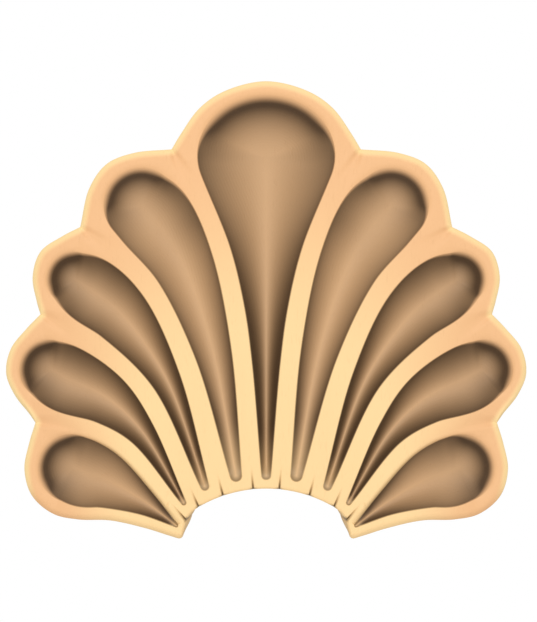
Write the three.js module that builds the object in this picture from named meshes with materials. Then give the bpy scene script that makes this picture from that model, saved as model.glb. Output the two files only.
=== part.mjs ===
// Carved shell ornament: a flat-backed wooden applique of nine scooped lobes
// that fan out above a round notch. It is one board of wood, carved from the
// front, and it is glued or pinned to a panel by its flat back.
//
// Millimetres. +X is right, +Z is up and the carved front faces -Y. The origin
// is the middle of the flat back.
import * as THREE from 'three';

// Overall sizes
const HEIGHT = 160; // lowest tips to the top of the middle lobe
const THICKNESS = 20; // flat back to the tops of the ribs
const BACKING = 9; // wood left behind the deepest scoop

// Ribs and rims, measured square to the back
const CROWN_FALL = 1.8; // rims at the heads lie this far below the ribs
const NOTCH_FALL = 0.8; // ribs sink this far towards the round notch
const HEAD_ROLL = 1.3; // the rim dips this far before the scoop starts
const LOW_RIB_SLOPE = 2.2; // the rib above the lowest scoop leans in by this much

// Rounded outer edge, and the dips where two lobes meet
const EDGE_WIDTH = 3.4;
const EDGE_DROP = 1.9;
const ROLL_WIDTH = 2.6;
const VALLEY_LENGTH = 17; // runs in from each cusp of the outline
const VALLEY_WIDTH = 6;
const VALLEY_START = 4; // a dip is a round hollow from this far inside its cusp
const GROOVE_LENGTH = 10; // short vee cut from the notch between two feet
const GROOVE_WIDTH = 1.2;
const GROOVE_DROP = 2.4;
const NOTCH_EDGE = 0.4; // the notch keeps a nearly sharp edge
const FOOT_EDGE = 1.4; // the outer rounding shrinks to this at the lowest corners
const TIP_RAMP = 6; // each scoop rises to its foot over this length
const TIP_START = 1; // and is already as deep at the foot as this far up the ramp
const FOOT_DRAFT = 0.8; // the end walls of the lowest feet lean out to the back

// How finely the surface is divided
const SIDE_STEPS = 18;
const CROWN_STEPS = 14;
const FOOT_STEPS = 4;
const LAND_ROWS = [0, 0.14, 0.36, 0.7, 1];
const SCOOP_ROWS = [0.05, 0.16, 0.34, 0.62, 1];

// The plan is drawn in hundredths of the height, right half only: [across, up].
// A scoop is the track of a round gouge: [across, up, half width] at a few
// stations, from its foot to the middle of its round head. Its depth where it is
// widest is a share of the deepest scoop, and falls towards the foot as the
// width does, to the power given. Splay widens a scoop's round head.
const LOBES = [
  {
    scoop: [[0, 14, 0.95], [0, 38.7, 2.7], [0, 51.3, 4.2], [0, 65.4, 7.1], [0, 83.6, 13.1]],
    deepest: 1,
    taper: 0.4,
    splay: 1.145,
    crown: [[-18.6, 88.6], [-14.6, 94.1], [-9.2, 97.8], [0, 100], [9.2, 97.8], [14.6, 94.1], [18.6, 88.6]],
  },
  {
    scoop: [[6.7, 14.5, 1.6], [11.7, 41.1, 4.1], [18.2, 60.1, 6.7], [24.5, 70, 8.5], [27.3, 72.7, 8.1]],
    deepest: 0.7,
    taper: 0.75,
    crown: [[29, 84.3], [34.9, 81.9], [38.7, 76.6]],
  },
  {
    scoop: [[13.5, 11.9, 1.2], [22, 35, 3.3], [31.9, 49.1, 6.4], [38.3, 54.3, 7.2], [41.9, 56.6, 5.9]],
    deepest: 0.7,
    taper: 0.45,
    crown: [[44.6, 66.1], [49.4, 62.7], [51.1, 57.2], [50.2, 51.8]],
  },
  {
    scoop: [[18.1, 8.1, 0.7], [27.4, 23.5, 3.1], [35.1, 30.7, 5.6], [43.9, 35, 7.3], [47.3, 36.8, 6.5]],
    deepest: 0.7,
    taper: 0.45,
    crown: [[52.4, 45.9], [55.9, 41.4], [56.9, 36.1], [55, 31.3], [51.8, 27.2]],
  },
  {
    scoop: [[19.7, 3, 0.5], [26.9, 8.1, 2.8], [35.9, 13.1, 6.2], [40, 14.4, 7.4], [42.3, 15.3, 7.4]],
    deepest: 0.66,
    taper: 0.55,
    crown: [[51.9, 20.7], [52.9, 15.1], [51.3, 9.4]],
  },
];
const LAST = LOBES.length - 1;
const CUSPS = [[20.7, 85.1], [40.7, 68.1], [49.4, 49], [50.5, 25.3]]; // between one lobe and the next
const HEEL = [46.7, 5.4]; // where the lowest crown runs into the underside
const UNDERSIDE = [[41.2, 4.2], [34, 4], [26, 2.2], [21, 0.6]];
const FOOT_CORNER = [18.3, 0];

// The notch is an arc about this centre. The grooves between the feet are cut
// at these angles from upright, and the last lies past the arc's end.
const NOTCH_CENTRE = -18.25;
const NOTCH_RADIUS = 29.2;
const GROOVE_ANGLES = [5.6, 18.8, 30.3];
const NOTCH_END = [16.3, 5.8];
const LAST_GROOVE = [17.5, 4.2];
const LAST_TOE = [17.9, 2.4];

const PALE_WOOD = new THREE.MeshStandardMaterial({ color: 0xe6bd8a, roughness: 0.55, metalness: 0 });

const DENSE = 160; // samples of a curve before it is divided
const TRACK_STOPS = 240; // stops of the gouge along one scoop
const BEND_START = 0.68; // share of a rib after which it bends to its cusp
const NOTCH_PULL = 0.15; // share of a rib that bends to its groove
const SOFT_START = 0.7; // share of a rib after which its crisp arris softens
const LEAN_START = 0.12; // share of the leaning rib's slope that its foot already has
const SHOULDER_TURN = 0.05; // least turn of a scoop's round head before its corner
const CRISP_POWER = 2; // section of a scoop that starts at a crisp arris
const SOFT_POWER = 2.7; // and of one whose rim rolls into it
const ONSET_SLOPE = 0.03; // how gently a soft section starts, as shares of its half width
const ONSET_REACH = 0.1;
const SPAN_LIMIT = 0.8; // most of the land's width that one rounding may take

/** A plan point in millimetres from hundredths of the height. */
function planPoint([across, up]) {
  return new THREE.Vector2((across * HEIGHT) / 100, (up * HEIGHT) / 100);
}

/** A smooth curve through plan points, with the half width as third value. */
function smoothCurve(points) {
  const places = points.map(([across, up, halfWidth = 0]) => new THREE.Vector3(across, up, halfWidth));
  return new THREE.CatmullRomCurve3(places.map((place) => place.multiplyScalar(HEIGHT / 100)));
}

/** Evenly spaced plan points on the stretch of a curve between two of its parameters. */
function stretch(curve, from, to, steps) {
  const dense = Array.from({ length: DENSE + 1 }, (_, k) => curve.getPoint(from + ((to - from) * k) / DENSE));
  const reach = [0];
  for (let k = 1; k <= DENSE; k += 1) reach.push(reach[k - 1] + dense[k].distanceTo(dense[k - 1]));
  return Array.from({ length: steps + 1 }, (_, step) => {
    const goal = (reach[DENSE] * step) / steps;
    const k = Math.max(1, reach.findIndex((length) => length >= goal - 1e-9));
    const share = (goal - reach[k - 1]) / (reach[k] - reach[k - 1]);
    const at = dense[k - 1].clone().lerp(dense[k], share);
    return new THREE.Vector2(at.x, at.y);
  });
}

/** Shares from 0 to 1 that crowd a little towards both ends. */
function easedShares(steps) {
  return Array.from({ length: steps + 1 }, (_, k) => {
    const even = k / steps;
    return 0.6 * even + 0.2 * (1 - Math.cos(Math.PI * even));
  });
}

/** Lengths from the start of a line of plan points to each of them. */
function reaches(line) {
  const lengths = [0];
  for (let k = 1; k < line.length; k += 1) lengths.push(lengths[k - 1] + line[k].distanceTo(line[k - 1]));
  return lengths;
}

/** The gouge's track: centre, direction, half width, opening angle and depth at each of its stops. */
function gougeTrack(lobe) {
  const curve = smoothCurve(lobe.scoop);
  const shares = Array.from({ length: TRACK_STOPS + 1 }, (_, k) => k / TRACK_STOPS);
  const places = shares.map((share) => curve.getPointAt(share));
  const centres = places.map((at) => new THREE.Vector2(at.x, at.y));
  const fromFoot = reaches(centres);
  const widest = Math.max(...places.map((at) => at.z));
  return places.map((at, k) => {
    const before = places[Math.max(0, k - 1)];
    const after = places[Math.min(TRACK_STOPS, k + 1)];
    const move = new THREE.Vector2(after.x - before.x, after.y - before.y);
    const full = (THICKNESS - BACKING) * lobe.deepest * (at.z / widest) ** lobe.taper;
    const ramp = Math.min(1, (fromFoot[k] + TIP_START) / TIP_RAMP);
    return {
      centre: centres[k],
      heading: move.angle(),
      opening: Math.acos(-(after.z - before.z) / move.length()),
      halfWidth: at.z,
      depth: full * Math.sin((Math.PI / 2) * ramp),
    };
  });
}

/** The point of a scoop's edge at an angle about one stop of the gouge. */
function rimPoint(stop, angle, splay) {
  const reach = new THREE.Vector2(stop.halfWidth, 0).rotateAround(new THREE.Vector2(), angle);
  return reach.add(stop.centre).multiply(new THREE.Vector2(splay, 1));
}

/** Edge points on an arc about one stop, from its first angle to its last. */
function edgeArc(stop, from, to, steps, splay) {
  return Array.from({ length: steps + 1 }, (_, k) => (
    { edge: rimPoint(stop, from + ((to - from) * k) / steps, splay), spine: stop.centre, depth: stop.depth }));
}

/** The angle from the head of a scoop to a plan point, within half a turn of the heading. */
function angleTo(stop, target, splay) {
  const angle = target.clone().divide(new THREE.Vector2(splay, 1)).sub(stop.centre).angle();
  return stop.heading + Math.atan2(Math.sin(angle - stop.heading), Math.cos(angle - stop.heading));
}

/** One long side of a scoop's edge, from its foot to its corner, with the share of the track for each place. */
function scoopSide(track, sign, cornerAngle, splay) {
  const head = track[TRACK_STOPS];
  const round = edgeArc(head, head.heading + sign * head.opening, cornerAngle, TRACK_STOPS, splay);
  const line = [
    ...track.map((stop, k) => ({ edge: rimPoint(stop, stop.heading + sign * stop.opening, splay), share: k / TRACK_STOPS })),
    ...round.slice(1).map(({ edge }) => ({ edge, share: 1 })),
  ];
  const lengths = reaches(line.map(({ edge }) => edge));
  return easedShares(SIDE_STEPS).map((goal) => {
    const length = goal * lengths[lengths.length - 1];
    const k = Math.max(1, lengths.findIndex((reach) => reach >= length - 1e-9));
    const step = (length - lengths[k - 1]) / (lengths[k] - lengths[k - 1]);
    return {
      edge: line[k - 1].edge.clone().lerp(line[k].edge, step),
      share: THREE.MathUtils.lerp(line[k - 1].share, line[k].share, step),
    };
  });
}

/** The scoop's spine and depth at a share of the track. */
function spineAt(track, share) {
  const at = share * TRACK_STOPS;
  const k = Math.min(Math.floor(at), TRACK_STOPS - 1);
  return {
    spine: track[k].centre.clone().lerp(track[k + 1].centre, at - k),
    depth: THREE.MathUtils.lerp(track[k].depth, track[k + 1].depth, at - k),
  };
}

/** The scoop's edge in four runs, clockwise from its foot: inner side, head, outer side, foot. */
function scoopEdge(lobe, innerCorner, outerCorner) {
  const track = gougeTrack(lobe);
  const splay = lobe.splay ?? 1;
  const foot = track[0];
  const head = track[TRACK_STOPS];
  const turn = head.opening - SHOULDER_TURN;
  const innerAngle = Math.min(angleTo(head, innerCorner, splay), head.heading + turn);
  const outerAngle = Math.max(angleTo(head, outerCorner, splay), head.heading - turn);
  const innerSide = scoopSide(track, 1, innerAngle, splay);
  const outerSide = scoopSide(track, -1, outerAngle, splay);
  const spines = innerSide.map(({ share }, k) => spineAt(track, (share + outerSide[k].share) / 2));
  const toeEnd = foot.heading + foot.opening - 2 * Math.PI;
  return {
    inner: innerSide.map(({ edge }, k) => ({ edge, ...spines[k] })),
    crown: edgeArc(head, innerAngle, outerAngle, CROWN_STEPS, splay),
    outer: outerSide.map(({ edge }, k) => ({ edge, ...spines[k] })).reverse(),
    toe: edgeArc(foot, foot.heading - foot.opening, toeEnd, FOOT_STEPS, splay),
  };
}

/** The plan point on the notch's arc at an angle from upright. */
function notchPoint(degrees) {
  const angle = THREE.MathUtils.degToRad(degrees);
  return planPoint([NOTCH_RADIUS * Math.sin(angle), NOTCH_CENTRE + NOTCH_RADIUS * Math.cos(angle)]);
}

/** The line along the middle of the rib between two scoops, from the notch to the cusp. */
function ribLine(before, after, start, end) {
  const middle = before.map((stop, k) => stop.edge.clone().lerp(after[k].edge, 0.5));
  const toStart = start.clone().sub(middle[0]);
  const toEnd = end.clone().sub(middle[middle.length - 1]);
  const lengths = reaches(middle);
  return middle.map((at, k) => {
    const along = lengths[k] / lengths[middle.length - 1];
    const startPull = Math.max(0, 1 - along / NOTCH_PULL) ** 2;
    const endPull = Math.max(0, (along - BEND_START) / (1 - BEND_START)) ** 2;
    return at.clone().addScaledVector(toStart, startPull).addScaledVector(toEnd, endPull);
  });
}

/** How far a rib's middle lies below its top, and how wide and how hollow that dip is, all along the rib. */
function ribDips(line) {
  const lengths = reaches(line);
  const total = lengths[lengths.length - 1];
  return lengths.map((fromNotch) => {
    const toCusp = total - fromNotch;
    const groove = Math.max(0, 1 - fromNotch / GROOVE_LENGTH) ** 2;
    const valley = Math.max(0, 1 - toCusp / VALLEY_LENGTH) ** 1.5;
    const widen = Math.min(1, toCusp / VALLEY_LENGTH);
    return {
      drop: GROOVE_DROP * groove + EDGE_DROP * valley,
      width: groove > 0 ? GROOVE_WIDTH : EDGE_WIDTH + (VALLEY_WIDTH - EDGE_WIDTH) * widen,
      hollow: groove > 0 ? 0 : Math.min(1, toCusp / VALLEY_START),
    };
  });
}

/** The outline in the right half, as the four runs round each lobe that match its scoop's edge. */
function lobeOutlines(edges) {
  const cusps = CUSPS.map(planPoint);
  const grooves = [...GROOVE_ANGLES.map(notchPoint), planPoint(LAST_GROOVE)];
  const ribs = cusps.map((cusp, k) => {
    const before = edges[k].outer.slice().reverse();
    return ribLine(before, edges[k + 1].inner, grooves[k], cusp);
  });
  const under = smoothCurve([...CUSPS.slice(-1), ...LOBES[LAST].crown, HEEL, ...UNDERSIDE, FOOT_CORNER]);
  const heelAt = (LOBES[LAST].crown.length + 1) / (LOBES[LAST].crown.length + UNDERSIDE.length + 2);
  return LOBES.map((lobe, k) => {
    const [left, right] = k === 0 ? [[-CUSPS[0][0], CUSPS[0][1]], CUSPS[0]] : [CUSPS[k - 1], CUSPS[k]];
    const lowest = k === LAST;
    return {
      inner: k === 0 ? ribs[0].map(mirrored) : ribs[k - 1],
      crown: lowest ? stretch(under, 0, heelAt, CROWN_STEPS)
        : stretch(smoothCurve([left, ...lobe.crown, right]), 0, 1, CROWN_STEPS),
      outer: lowest ? stretch(under, heelAt, 1, SIDE_STEPS) : ribs[k].slice().reverse(),
      toe: toeLine(k),
    };
  });
}

/** The foot of a lobe along the notch, from its outer groove to its inner one. */
function toeLine(k) {
  if (k === LAST) return stretch(smoothCurve([FOOT_CORNER, LAST_TOE, LAST_GROOVE]), 0, 1, FOOT_STEPS);
  const inner = k === 0 ? -GROOVE_ANGLES[0] : GROOVE_ANGLES[k - 1];
  if (k === LAST - 1) {
    const arcEnd = notchPoint(inner).multiplyScalar(100 / HEIGHT).toArray();
    return stretch(smoothCurve([LAST_GROOVE, NOTCH_END, arcEnd]), 0, 1, FOOT_STEPS);
  }
  const turn = inner - GROOVE_ANGLES[k];
  return Array.from({ length: FOOT_STEPS + 1 }, (_, j) => notchPoint(inner - turn + (turn * j) / FOOT_STEPS));
}

/** The same plan point on the left half. */
function mirrored(at) {
  return new THREE.Vector2(-at.x, at.y);
}

/** The height of a rib's top above the back, from the notch (0) to the crown (1). */
function ribTop(along) {
  const toCrown = Math.max(0, 2 * along - 1);
  const toNotch = Math.max(0, 1 - 2 * along);
  return THICKNESS - CROWN_FALL * toCrown ** 2 - NOTCH_FALL * toNotch ** 2;
}

/** How the rib or rim is shaped where the land is a given share of the way from the notch to the crown. */
function sideShape(along, dip, lean) {
  const soft = THREE.MathUtils.smoothstep(along, SOFT_START, 1); // crisp arris 0, rolled rim 1
  const slope = lean * Math.sin(Math.PI * Math.min(1, along + LEAN_START));
  return { top: ribTop(along), ...dip, roll: slope + HEAD_ROLL * soft, soft };
}

/** Each point's share of a line's length. */
function alongLine(line) {
  const lengths = reaches(line);
  return lengths.map((length) => length / lengths[lengths.length - 1]);
}

/** How the land is shaped along a lobe's foot, from its outer groove or corner to its inner groove. */
function toeShapes(k, line) {
  const lengths = reaches(line);
  const total = lengths[lengths.length - 1];
  const lowest = k === LAST;
  return line.map((at, j) => {
    const along = j / (line.length - 1);
    const fromGroove = lowest ? total - lengths[j] : Math.min(lengths[j], total - lengths[j]);
    const groove = Math.max(0, 1 - fromGroove / GROOVE_WIDTH);
    const corner = lowest ? 1 - along : 0;
    const edge = THREE.MathUtils.lerp(NOTCH_EDGE, FOOT_EDGE, corner ** 3);
    const drop = THREE.MathUtils.lerp(edge, GROOVE_DROP, groove);
    const shape = { top: ribTop(0), drop, width: GROOVE_WIDTH, hollow: 0, roll: 0, soft: 0 };
    if (k < LAST - 1) return shape;
    const draft = FOOT_DRAFT * Math.sin((Math.PI / 2) * (lowest ? along : 1 - along));
    return { ...shape, behind: new THREE.Vector2(at.x - draft, at.y) };
  });
}

/** One lobe's columns, clockwise: each runs from the outline over the land and down to the scoop's spine. */
function lobeColumns(k, edge, outline) {
  const lowest = k === LAST;
  const rounded = { drop: EDGE_DROP, width: EDGE_WIDTH, hollow: 0 };
  const outerLine = outline.outer.slice().reverse();
  const outerDips = lowest
    ? outerLine.map((_, j) => ({ ...rounded, drop: THREE.MathUtils.lerp(FOOT_EDGE, EDGE_DROP, j / SIDE_STEPS) }))
    : ribDips(outerLine);
  const innerAlong = alongLine(outline.inner);
  const outerAlong = alongLine(outerLine);
  const lean = lowest ? LOW_RIB_SLOPE : 0;
  const shapes = {
    inner: ribDips(outline.inner).map((dip, j) => sideShape(innerAlong[j], dip, lean)),
    crown: outline.crown.map(() => sideShape(1, rounded, 0)),
    outer: outerDips.map((dip, j) => sideShape(outerAlong[j], dip, 0)).reverse(),
    toe: toeShapes(k, outline.toe),
  };
  return Object.keys(shapes).flatMap((run) => outline[run].slice(0, -1).map((outer, j) => (
    { outer, ...edge[run][j], ...shapes[run][j] })));
}

/** The height above the back of a column's land, from the outline (0) to the scoop's edge (1). */
function landHeight(column, share) {
  const span = column.edge.distanceTo(column.outer);
  const fromOuter = Math.min(1, (share * span) / Math.min(column.width, SPAN_LIMIT * span));
  const fromEdge = Math.max(0, 1 - ((1 - share) * span) / Math.min(ROLL_WIDTH, SPAN_LIMIT * span));
  const dip = THREE.MathUtils.lerp((1 - fromOuter) ** 2, (1 - fromOuter ** 2) ** 2, column.hollow);
  return column.top - column.drop * dip - column.roll * fromEdge ** 2;
}

/** The height above the back inside the scoop, from its edge (0) to its spine (1). */
function scoopHeight(column, share) {
  const start = landHeight(column, 1);
  const floor = THICKNESS - column.depth;
  const crisp = 1 - (1 - share) ** CRISP_POWER;
  const onset = ((share + ONSET_SLOPE) / (share + ONSET_REACH)) * ((1 + ONSET_REACH) / (1 + ONSET_SLOPE));
  const soft = 1 - Math.max(0, 1 - share * onset) ** SOFT_POWER;
  return start + (floor - start) * THREE.MathUtils.lerp(crisp, soft, column.soft);
}

/** The points down one column, as [across, height above the back, up]. */
function columnPoints(column) {
  const place = (from, to, share, height) => {
    const at = from.clone().lerp(to, share);
    return [at.x, height, at.y];
  };
  return [
    ...LAND_ROWS.map((share) => place(column.outer, column.edge, share, landHeight(column, share))),
    ...SCOOP_ROWS.map((share) => place(column.edge, column.spine, share, scoopHeight(column, share))),
  ];
}

/** A closed mesh that is put together from corners, with those in one place shared. */
class SharedMesh {
  constructor() {
    this.places = [];
    this.numbers = new Map();
    this.triangles = [];
    this.behind = new Map(); // rim corners whose back corner isn't straight behind them
  }

  /** The number of the corner at this place. */
  corner([across, height, up]) {
    const key = [across, height, up].map((value) => Math.round(value * 1e4)).join(' ');
    if (!this.numbers.has(key)) {
      this.numbers.set(key, this.places.length);
      this.places.push([across, -height, up - HEIGHT / 2]);
    }
    return this.numbers.get(key);
  }

  /** Adds a triangle unless two of its corners are one. */
  triangle(a, b, c) {
    if (a !== b && b !== c && c !== a) this.triangles.push([a, b, c]);
  }

  /** Adds the surface of one lobe, or of its mirror image. */
  lobe(columns, flip) {
    const side = flip ? -1 : 1;
    const place = ([across, height, up]) => this.corner([side * across, height, up]);
    const grid = columns.map((column) => columnPoints(column).map(place));
    columns.forEach(({ behind }, k) => {
      if (behind) this.behind.set(grid[k][0], new THREE.Vector2(side * behind.x, behind.y));
    });
    grid.forEach((here, k) => {
      const next = grid[(k + 1) % grid.length];
      for (let row = 0; row + 1 < here.length; row += 1) {
        const [a, b, c, d] = [here[row], here[row + 1], next[row + 1], next[row]];
        if (flip) {
          this.triangle(a, c, b);
          this.triangle(a, d, c);
        } else {
          this.triangle(a, b, c);
          this.triangle(a, c, d);
        }
      }
    });
  }

  /** The corners of the open rim, in order. */
  rim() {
    const follows = new Map();
    for (const [a, b, c] of this.triangles) {
      for (const [from, to] of [[a, b], [b, c], [c, a]]) follows.set(`${from} ${to}`, [from, to]);
    }
    const next = new Map();
    for (const [from, to] of follows.values()) {
      if (!follows.has(`${to} ${from}`)) next.set(from, to);
    }
    const start = next.keys().next().value;
    const loop = [start];
    for (let at = next.get(start); at !== start; at = next.get(at)) loop.push(at);
    return loop;
  }

  /** Closes the surface with the side walls and the flat back. */
  close() {
    const rim = this.rim();
    const plan = rim.map((number) => {
      const [across, , up] = this.places[number];
      return this.behind.get(number) ?? new THREE.Vector2(across, up + HEIGHT / 2);
    });
    const back = plan.map((at) => this.corner([at.x, 0, at.y]));
    rim.forEach((here, k) => {
      const after = (k + 1) % rim.length;
      this.triangle(rim[after], here, back[k]);
      this.triangle(rim[after], back[k], back[after]);
    });
    for (const [a, b, c] of THREE.ShapeUtils.triangulateShape(plan, [])) {
      const turn = plan[b].clone().sub(plan[a]).cross(plan[c].clone().sub(plan[a]));
      if (turn < 0) this.triangle(back[a], back[b], back[c]);
      else this.triangle(back[a], back[c], back[b]);
    }
  }

  /** The finished geometry, with a normal of its own for each facet. */
  geometry() {
    const shared = new THREE.BufferGeometry();
    shared.setAttribute('position', new THREE.Float32BufferAttribute(this.places.flat(), 3));
    shared.setIndex(this.triangles.flat());
    const faceted = shared.toNonIndexed();
    faceted.computeVertexNormals();
    return faceted;
  }
}

/** The whole carving as one closed solid. */
function carveShell() {
  const cusps = CUSPS.map(planPoint);
  const corners = [mirrored(cusps[0]), ...cusps, planPoint(HEEL)];
  const edges = LOBES.map((lobe, k) => scoopEdge(lobe, corners[k], corners[k + 1]));
  const outlines = lobeOutlines(edges);
  const solid = new SharedMesh();
  LOBES.forEach((_, k) => {
    const columns = lobeColumns(k, edges[k], outlines[k]);
    solid.lobe(columns, false);
    if (k > 0) solid.lobe(columns, true);
  });
  solid.close();
  return solid.geometry();
}

const group = new THREE.Group();
const shell = new THREE.Mesh(carveShell(), PALE_WOOD);
shell.name = 'shell_carving';
group.add(shell);

export default group;
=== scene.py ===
import logging
import math
from dataclasses import dataclass, field
from enum import Enum
from typing import Optional, Union

import bpy
import numpy as np
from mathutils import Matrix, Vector
from mathutils.kdtree import KDTree


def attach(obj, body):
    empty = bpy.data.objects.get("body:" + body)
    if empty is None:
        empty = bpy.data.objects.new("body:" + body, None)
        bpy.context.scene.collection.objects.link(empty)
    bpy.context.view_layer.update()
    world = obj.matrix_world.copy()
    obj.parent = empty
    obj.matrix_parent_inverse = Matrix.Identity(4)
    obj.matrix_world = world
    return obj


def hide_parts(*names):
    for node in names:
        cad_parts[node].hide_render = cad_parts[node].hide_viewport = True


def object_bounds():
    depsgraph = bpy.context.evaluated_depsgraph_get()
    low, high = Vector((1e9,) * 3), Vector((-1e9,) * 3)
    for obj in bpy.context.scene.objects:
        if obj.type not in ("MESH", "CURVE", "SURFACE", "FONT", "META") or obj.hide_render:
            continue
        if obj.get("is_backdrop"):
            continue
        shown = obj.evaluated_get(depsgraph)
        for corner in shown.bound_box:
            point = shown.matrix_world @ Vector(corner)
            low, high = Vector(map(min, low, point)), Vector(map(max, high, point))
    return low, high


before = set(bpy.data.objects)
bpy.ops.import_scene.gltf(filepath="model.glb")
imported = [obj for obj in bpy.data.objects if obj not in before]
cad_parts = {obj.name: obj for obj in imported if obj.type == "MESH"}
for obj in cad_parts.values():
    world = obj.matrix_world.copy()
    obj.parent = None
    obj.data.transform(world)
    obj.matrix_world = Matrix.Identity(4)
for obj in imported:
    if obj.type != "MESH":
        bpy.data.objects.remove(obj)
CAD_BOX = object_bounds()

log = logging.getLogger("shell_ornament")

# Lengths are in millimetres, but in metres where they are times MM.
MM = 0.001
HEIGHT = 160.0
THICKNESS = 20.0
BACKING = 9.0  # wood left behind the deepest scoop
ARRIS = 0.3  # the broken edge between a rib and a scoop
ARRIS_LIMIT = 0.15  # and the most of the land's width that it takes
SPAN_LIMIT = 0.8  # the most of the land's width that another rounding takes
DENSE_STEPS = 2000
WELD_PLACES = 1e4  # points to a millimetre that are told apart
PURE_WHITE = (1.0, 1.0, 1.0, 1.0)

Point = tuple[float, float]
Place = tuple[float, float, float]
Inputs = dict[Union[str, int], object]
Amount = Union["Field", float]


@dataclass(frozen=True)
class Lobe:
    """One scooped lobe of the right half, drawn in hundredths of the shell's height.

    Attributes:
        scoop: stations of the gouge's track as (across, up, half width), from foot to head.
        deepest: share of the deepest scoop that this one reaches at its head.
        taper: power with which the scoop gets shallower as it narrows.
        crown: points of the outline round the head, clockwise, without the cusps.
        even_shade: half width of the scoop where its painted shade thins evenly from the edge to the middle.
        pale_foot: how far the painted shade stays thin from the scoop's foot.
        splay: how much wider than a circle the scoop's round ends are.
        lean: how far the softest part of the head's edge is turned from the scoop's heading, in radians.
        shade_falloff: how fast the painted shade thins away from the head.
        middle_shade_lift: how far the painted shade is lifted along the middle of the scoop.
        pool_fades: how fast the painted shade round the head fades out to its inner and outer side, in
            millimetres.
    """

    scoop: tuple[Place, ...]
    deepest: float
    taper: float
    crown: tuple[Point, ...]
    even_shade: float
    pale_foot: float
    splay: float = 1.0
    lean: float = 0.0
    shade_falloff: float = 0.93
    middle_shade_lift: float = 1.0
    pool_fades: tuple[float, float] = (7.0, 13.0)


MIDDLE = Lobe(
    scoop=((0, 13.8, 0.9), (0, 38.7, 2.7), (0, 51.3, 4.2), (0, 65.4, 7.1), (0, 83.6, 13.1)),
    deepest=1.0,
    taper=0.45,
    crown=((-18.6, 88.6), (-14.6, 94.1), (-9.2, 97.8), (0, 100), (9.2, 97.8), (14.6, 94.1), (18.6, 88.6)),
    even_shade=6.8,
    pale_foot=11,
    splay=1.145,
    shade_falloff=0.78,
    middle_shade_lift=0.94,
    pool_fades=(10.0, 10.0),
)
SECOND = Lobe(
    scoop=((6.6, 13.8, 1.3), (11.7, 41.1, 4.1), (18.2, 60.1, 6.7), (24.5, 70, 8.5), (27.3, 72.7, 8.1)),
    deepest=0.7,
    taper=0.85,
    crown=((29, 84.3), (34.9, 81.9), (38.7, 76.6)),
    even_shade=3.6,
    pale_foot=14,
    lean=0.3,
)
THIRD = Lobe(
    scoop=((13.4, 11.5, 0.95), (22, 35, 3.3), (31.9, 49.1, 6.4), (38.3, 54.3, 7.2), (41.9, 56.6, 5.9)),
    deepest=0.7,
    taper=0.5,
    crown=((44.6, 66.1), (49.4, 62.7), (51.1, 57.2), (50.2, 51.8)),
    even_shade=5.4,
    pale_foot=8,
)
FOURTH = Lobe(
    scoop=((18, 7.9, 0.55), (27.4, 23.5, 3.1), (35.1, 30.7, 5.6), (43.9, 35, 7.3), (47.3, 36.8, 6.5)),
    deepest=0.7,
    taper=0.5,
    crown=((52.4, 45.9), (55.9, 41.4), (56.9, 36.1), (55, 31.3), (51.8, 27.2)),
    even_shade=5.9,
    pale_foot=2,
)
LOWEST = Lobe(
    scoop=((19.6, 2.9, 0.35), (26.9, 8.1, 2.8), (35.9, 13.1, 6.2), (40, 14.4, 7.4), (42.3, 15.3, 7.4)),
    deepest=0.66,
    taper=0.62,
    crown=((51.9, 20.7), (52.9, 15.1), (51.3, 9.4)),
    even_shade=3.6,
    pale_foot=2,
)
CUSPS: tuple[Point, ...] = ((20.7, 85.1), (40.7, 68.1), (49.4, 49), (50.5, 25.3))
HEEL: Point = (46.7, 5.4)
UNDERSIDE: tuple[Point, ...] = ((41.2, 4.2), (34, 4), (26, 2.2), (21, 0.6), (18.75, 0.02))
FOOT_CORNER: Point = (18.25, 0.45)
NOTCH_CENTRE = -18.25
NOTCH_RADIUS = 29.2
GROOVE_ANGLES = (5.6, 18.8, 30.3)
NOTCH_END: Point = (16.3, 5.8)
LAST_GROOVE: Point = (17.5, 4.2)
LAST_TOE: Point = (17.9, 2.4)


class Run(Enum):
    """The four stretches of a lobe's border, clockwise from its foot."""

    INNER = "inner"
    CROWN = "crown"
    OUTER = "outer"
    TOE = "toe"


class CarvedTone(Enum):
    """Point attributes of the carved surface that its finish reads, for the grain's ridges, the painted shade
    in the scoops, the grooves and on the rims, and the painted highlight along the edge.
    """

    RING = "ring_mm"
    REACH = "reach_mm"
    ACROSS = "across"
    THINNING = "thinning"
    PALE_FOOT = "pale_foot"
    CREASE = "crease"
    SOFTNESS = "softness"
    RISE = "rib_rise"
    FROM_HEAD = "from_head_mm"
    FROM_OUTLINE = "from_outline_mm"


def plan_point(point: Point) -> np.ndarray:
    """A plan point in millimetres from hundredths of the height."""
    return np.array(point, float) * HEIGHT / 100


def mirrored(points: np.ndarray) -> np.ndarray:
    """The same plan points on the left half."""
    return points * np.array([-1.0, 1.0])


def ease(share: np.ndarray) -> np.ndarray:
    """A share from 0 to 1 that starts and ends gently."""
    return share * share * (3 - 2 * share)


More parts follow.
